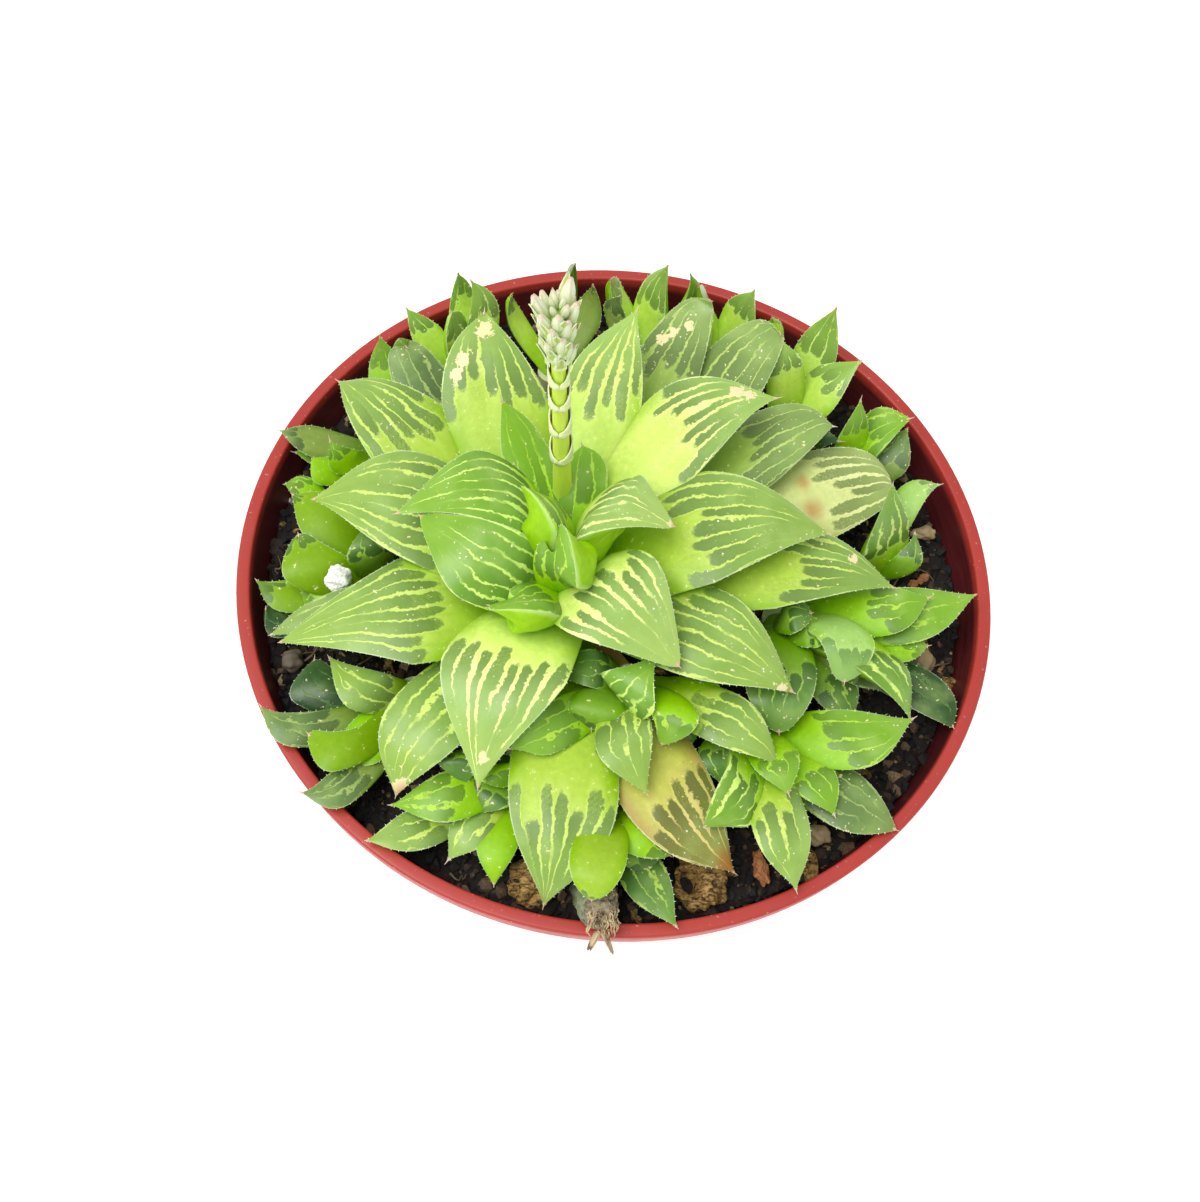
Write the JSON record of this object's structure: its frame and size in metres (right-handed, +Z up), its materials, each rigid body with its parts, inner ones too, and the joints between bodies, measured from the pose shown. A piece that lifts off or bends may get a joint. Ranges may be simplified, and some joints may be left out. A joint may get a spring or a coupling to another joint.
{
  "type": "potted haworthia",
  "caption": "A clump of window-leaved haworthia with pointed striped leaves, small offsets round it and a budding flower stalk, in a shallow round red nursery pot.",
  "frame": {"origin": "middle of the pot's foot, on the surface that it stands on", "axes": "+Z up along the pot's axis; the picture's view comes from -Y and above, with +X to its right"},
  "size_m": [0.15, 0.15, 0.1671],
  "materials": {
    "pot": "moulded terracotta-red polypropylene, satin with fine scuffs",
    "leaf": "firm green succulent leaf with paler lines and clear windows, waxy sheen",
    "stalk": "yellow-green flower stalk with papery whitish bracts",
    "soil": "dark crumbly potting mix with bark, roots and grit",
    "bark": "dry composted bark, rough and layered",
    "stone": "small weathered gravel, matte",
    "dry_fibre": "dry dead leaf fibre, frayed and matte",
    "perlite": "white expanded perlite, matte and pitted"
  },
  "bodies": {
    "root": {"pot": "pot", "soil": "soil", "flower_stalk": "stalk", "dry_stump": "dry_fibre", "perlite_grain": "perlite", "main_rosette": "leaf", "front_centre_offset": "leaf", "front_right_offset": "leaf", "right_offset": "leaf", "right_back_offset": "leaf", "back_right_offset": "leaf", "back_right_tall_offset": "leaf", "back_centre_right_offset": "leaf", "back_centre_offset": "leaf", "back_centre_left_offset": "leaf", "back_left_offset": "leaf", "left_back_offset": "leaf", "left_offset": "leaf", "left_front_offset": "leaf", "front_left_offset": "leaf", "front_offset": "leaf", "bark_chunk": "bark", "bark_piece": "bark", "bark_chip": "bark", "pebble_left": "stone", "pebble_right": "stone"}
  },
  "joints": []
}
